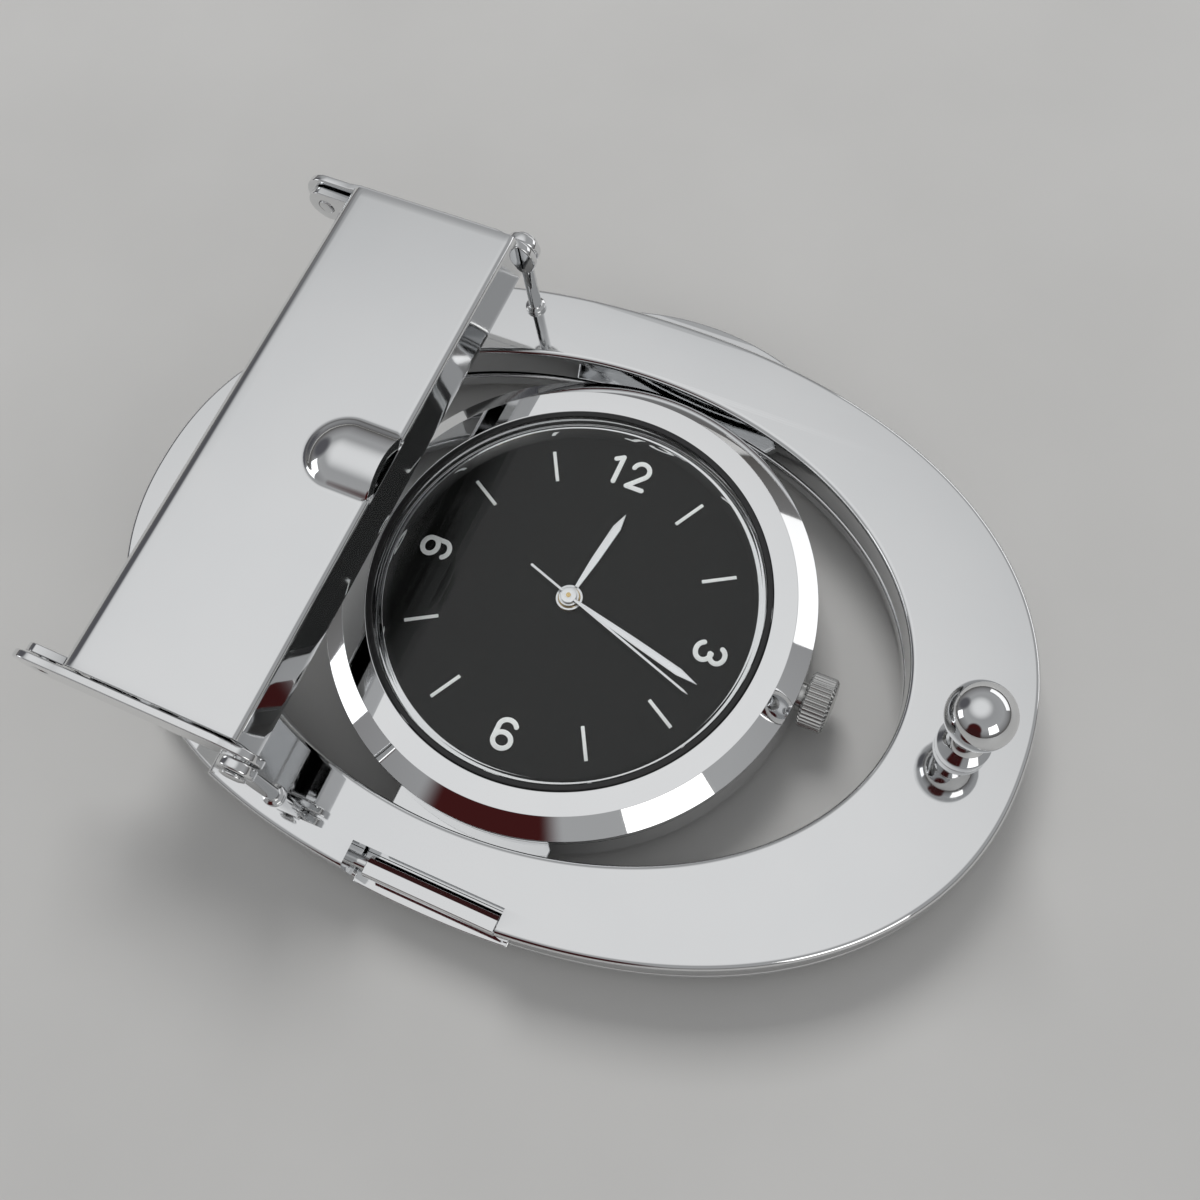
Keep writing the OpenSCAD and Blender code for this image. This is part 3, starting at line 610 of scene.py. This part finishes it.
# ---------------------------------------------------------------- clamp bracket
LID_PIN_X, PLATE_T, PLATE_Y = -28.6, 0.6, 20.4
end = [(-13.4, 11.8), *arc(-13.0, AXIS_Z, 1.75, -80, 85, 20), (-13.7, 15.75), (-14.2, 15.9), (-25.6, 15.9),
       (-26.6, 15.72),
       *arc(LID_PIN_X, AXIS_Z, 2.05, 82, 275, 30), (-26.8, 11.75), (-25.8, 11.7), (-14.2, 11.7)]
pin_hole = arc(LID_PIN_X, AXIS_Z, PIVOT_R - 0.01, 0, 360, 32)[:-1]
plates = []
for side in (1, -1):
    part = plate([end, pin_hole], -PLATE_T / 2, PLATE_T / 2, 0.12)
    plates.append(moved(part, at(0, side * (PLATE_Y + PLATE_T / 2), 0) @ UPRIGHT))
BED_Y = PLATE_Y + 0.1
bed = plate([[(-26, -BED_Y), (-14.2, -BED_Y), (-14.2, BED_Y), (-26, BED_Y)]], 11.7, 12.3, 0.1)
place("bracket", merged(*plates, bed), "mirror", "clamp_bracket", "clamp")
rivet_end = edge_of("lid_pin", 1, 1)
rivets = []
for side in (ON_Y, UPRIGHT):
    rivet = [(0, rivet_end - 1.4), (PIVOT_R, rivet_end - 1.4), (PIVOT_R, rivet_end), (0, rivet_end)]
    rivets.append(moved(lathe(soften(rivet, 0.1, 3, False), 64), at(LID_PIN_X, 0, AXIS_Z) @ side))
place("lid_axle", merged(*rivets), "pins", "lid_pin", "clamp")

# ---------------------------------------------------------------- clamp lid
LID_L, LID_R, LID_HALF, LID_TOP, SHEET = -26.1, -12.3, 20.3, 16.7, 0.8
BEND_L, BEND_R = 1.4, 0.45
WALL_LOW_L, WALL_LOW_R = 14.2, 12.5
BUMP_X, BUMP_HALF, BUMP_R, BUMP_UP = -15.5, 2.7, 3.64, 1.2


def bump_height(x, y):
    """Height of the pressed thumb bump: a rounded tongue with a soft foot, open at the right edge."""
    away = math.hypot(min(x - BUMP_X, 0), y)
    cap = math.sqrt(BUMP_R ** 2 - min(away, BUMP_R) ** 2) - (BUMP_R - BUMP_UP)
    foot = 0.22
    return max(cap, 0) + max(foot - abs(cap), 0) ** 2 / (4 * foot)


# the lid's section from its left wall over the top and down its right wall, then repeated in rows along Y,
# both closer together round the bump
NEAR_BUMP_X, NEAR_BUMP_Y = BUMP_X - 3.3, 3.4
path = [(LID_L, WALL_LOW_L + (LID_TOP - BEND_L - WALL_LOW_L) * k / 3) for k in range(3)]
path += arc(LID_L + BEND_L, LID_TOP - BEND_L, BEND_L, 180, 90, 12)
flat_start, flat_end = LID_L + BEND_L, LID_R - BEND_R
top_x = [flat_start + (NEAR_BUMP_X - flat_start) * k / 10 for k in range(1, 11)]
top_x += [NEAR_BUMP_X + (flat_end - NEAR_BUMP_X) * k / 44 for k in range(1, 45)]
first_top, first_bend = len(path) - 1, len(path) + len(top_x)
path += [(x, LID_TOP) for x in top_x]
path += arc(LID_R - BEND_R, LID_TOP - BEND_R, BEND_R, 90, 0, 8)[1:]
first_wall = len(path) - 1
path += [(LID_R, LID_TOP - BEND_R + (WALL_LOW_R - LID_TOP + BEND_R) * k / 6) for k in range(1, 7)]
rows = [-LID_HALF + (LID_HALF - NEAR_BUMP_Y) * k / 22 for k in range(22)]
rows += [-NEAR_BUMP_Y + 2 * NEAR_BUMP_Y * k / 56 for k in range(57)]
rows += [NEAR_BUMP_Y + (LID_HALF - NEAR_BUMP_Y) * k / 22 for k in range(1, 23)]
slit = [abs(y) <= BUMP_HALF - 0.05 for y in rows]
LAST_LINES = 12  # lines of the bump that stretch out to the lid's right face where its end is open
lid = bmesh.new()
grid = []
for y, open_here in zip(rows, slit):
    line = []
    for i, (x, z) in enumerate(path):
        if first_top <= i < first_bend:
            z += bump_height(x, y)
        if open_here and first_bend - LAST_LINES <= i < first_bend:
            x += BEND_R * (i - first_bend + LAST_LINES + 1) / (LAST_LINES + 1)
        line.append(lid.verts.new((x * MM, y * MM, z * MM)))
    grid.append(line)
for r in range(len(rows) - 1):
    for i in range(len(path) - 1):
        if slit[r] and slit[r + 1] and first_bend - 1 <= i < first_wall:
            continue
        lid.faces.new((grid[r][i], grid[r][i + 1], grid[r + 1][i + 1], grid[r + 1][i]))
bmesh.ops.delete(lid, geom=[v for v in lid.verts if not v.link_faces], context="VERTS")
lid_piece = place("lid_shell", lid, "lid", "clamp_lid", "lid", flat_faces=False)
if lid_piece.data.polygons[0].normal.x > 0:
    lid_piece.data.flip_normals()
thick = lid_piece.modifiers.new("sheet", "SOLIDIFY")
thick.thickness, thick.offset, thick.use_even_offset, thick.use_rim = SHEET * MM, -1, True, True
round_edges = lid_piece.modifiers.new("edges", "BEVEL")
round_edges.width, round_edges.segments, round_edges.angle_limit = 0.14 * MM, 3, math.radians(50)
lid_piece.modifiers.new("flat_faces", "WEIGHTED_NORMAL").weight = 50
lugs = []
for side in (1, -1):
    drawn = arc(LID_PIN_X, AXIS_Z, 1.5, 100, 290, 24)
    drawn += [(-24.5, 13.4), (-23.6, 13.8), (-23.6, 15.5), (-25.8, 15.5), (-26.6, 15.1)]
    part = plate([drawn, arc(LID_PIN_X, AXIS_Z, PIVOT_R + 0.03, 0, 360, 32)[:-1]], -0.32, 0.32, 0.08)
    lugs.append(moved(part, at(0, side * (LID_HALF - 0.36), 0) @ UPRIGHT))
place("lid_lugs", merged(*lugs), "lid", "clamp_lid", "lid")


# ---------------------------------------------------------------- floor, light and surroundings
FLOOR_HALF = 2.5
floor_mesh = bmesh.new()
bmesh.ops.create_grid(floor_mesh, x_segments=4, y_segments=4, size=FLOOR_HALF)
floor_data = bpy.data.meshes.new("floor")
floor_mesh.to_mesh(floor_data)
floor_mesh.free()
floor_data.materials.append(matt("floor_pale", (0.62, 0.615, 0.605), (0.66, 0.655, 0.645), 0.6, 40, 2e-6))
floor = bpy.data.objects.new("floor", floor_data)
floor.location.z = cad_bounds[0][2] - 0.00002
scene.collection.objects.link(floor)


def direction(azimuth, height):
    a, h = math.radians(azimuth), math.radians(height)
    return Vector((math.cos(h) * math.cos(a), math.cos(h) * math.sin(a), math.sin(h)))


def panel(name, azimuth, height, distance, width, tall, radiance, colour=(1, 1, 1), mirrored=True):
    """A soft box that faces the part, by its direction in degrees and its size in metres."""
    light = bpy.data.lights.new(name, "AREA")
    light.shape, light.size, light.size_y = "RECTANGLE", width, tall
    light.energy, light.color = radiance * math.pi * width * tall, colour
    box = bpy.data.objects.new(name, light)
    d = direction(azimuth, height)
    box.location = d * distance
    box.rotation_euler = d.to_track_quat("Z", "Y").to_euler()
    box.visible_camera, box.visible_glossy, box.visible_transmission = False, mirrored, mirrored
    scene.collection.objects.link(box)


panel("window_right", -38, 24, 0.9, 0.42, 0.40, 1.7, (1.0, 0.99, 0.97))
panel("window_left", -158, 16, 0.9, 0.34, 0.26, 1.6, (0.97, 0.985, 1.0))
panel("wall_behind", 60, 15, 1.2, 1.3, 0.34, 1.0)
panel("daylight", 118, 52, 0.8, 0.32, 0.32, 8.5, (1.0, 0.995, 0.985), mirrored=False)

world = bpy.data.worlds.new("room")
scene.world = world
world.use_nodes = True
tree = world.node_tree
place_in = tree.nodes.new("ShaderNodeTexCoord").outputs["Generated"]


def lobe(azimuth, height, wide, soft):
    """One inside a cone of directions, fading to nothing at its edge."""
    dot = tree.nodes.new("ShaderNodeVectorMath")
    dot.operation = "DOT_PRODUCT"
    tree.links.new(place_in, dot.inputs[0])
    dot.inputs[1].default_value = direction(azimuth, height)
    ramp = tree.nodes.new("ShaderNodeMapRange")
    ramp.interpolation_type = "SMOOTHSTEP"
    tree.links.new(dot.outputs["Value"], ramp.inputs["Value"])
    ramp.inputs["From Min"].default_value = math.cos(math.radians(wide + soft))
    ramp.inputs["From Max"].default_value = math.cos(math.radians(wide))
    return ramp.outputs["Result"]


def blend_colour(factor, first, second):
    mix = tree.nodes.new("ShaderNodeMix")
    mix.data_type = "RGBA"
    tree.links.new(factor, mix.inputs["Factor"])
    for socket, value in ((mix.inputs[6], first), (mix.inputs[7], second)):
        if isinstance(value, bpy.types.NodeSocket):
            tree.links.new(value, socket)
        else:
            socket.default_value = (*value, 1)
    return mix.outputs[2]


parts = tree.nodes.new("ShaderNodeSeparateXYZ")
tree.links.new(place_in, parts.inputs[0])
rise = tree.nodes.new("ShaderNodeValToRGB")
tree.links.new(parts.outputs["Z"], rise.inputs["Fac"])
rise.color_ramp.elements[0].position, rise.color_ramp.elements[0].color = 0.0, (0.10, 0.095, 0.09, 1)
rise.color_ramp.elements[1].position, rise.color_ramp.elements[1].color = 1.0, (0.34, 0.345, 0.35, 1)
rise.color_ramp.elements.new(0.2).color = (0.24, 0.24, 0.245, 1)
rise.color_ramp.elements.new(0.5).color = (0.38, 0.385, 0.39, 1)
room = rise.outputs["Color"]
room = blend_colour(lobe(158, 76, 11, 30), room, (0.80, 0.805, 0.81))
room = blend_colour(lobe(-97, 22, 16, 7), room, (0.05, 0.010, 0.010))
room = blend_colour(lobe(-95, 4, 17, 8), room, (0.04, 0.012, 0.012))
room = blend_colour(lobe(170, 24, 10, 12), room, (0.10, 0.10, 0.11))
rays = tree.nodes.new("ShaderNodeLightPath").outputs
room = blend_colour(rays["Is Diffuse Ray"], room, (0.33, 0.333, 0.336))
room = blend_colour(rays["Is Camera Ray"], room, (0.72, 0.72, 0.715))
tree.links.new(room, tree.nodes["Background"].inputs["Color"])
tree.nodes["Background"].inputs["Strength"].default_value = 1.0
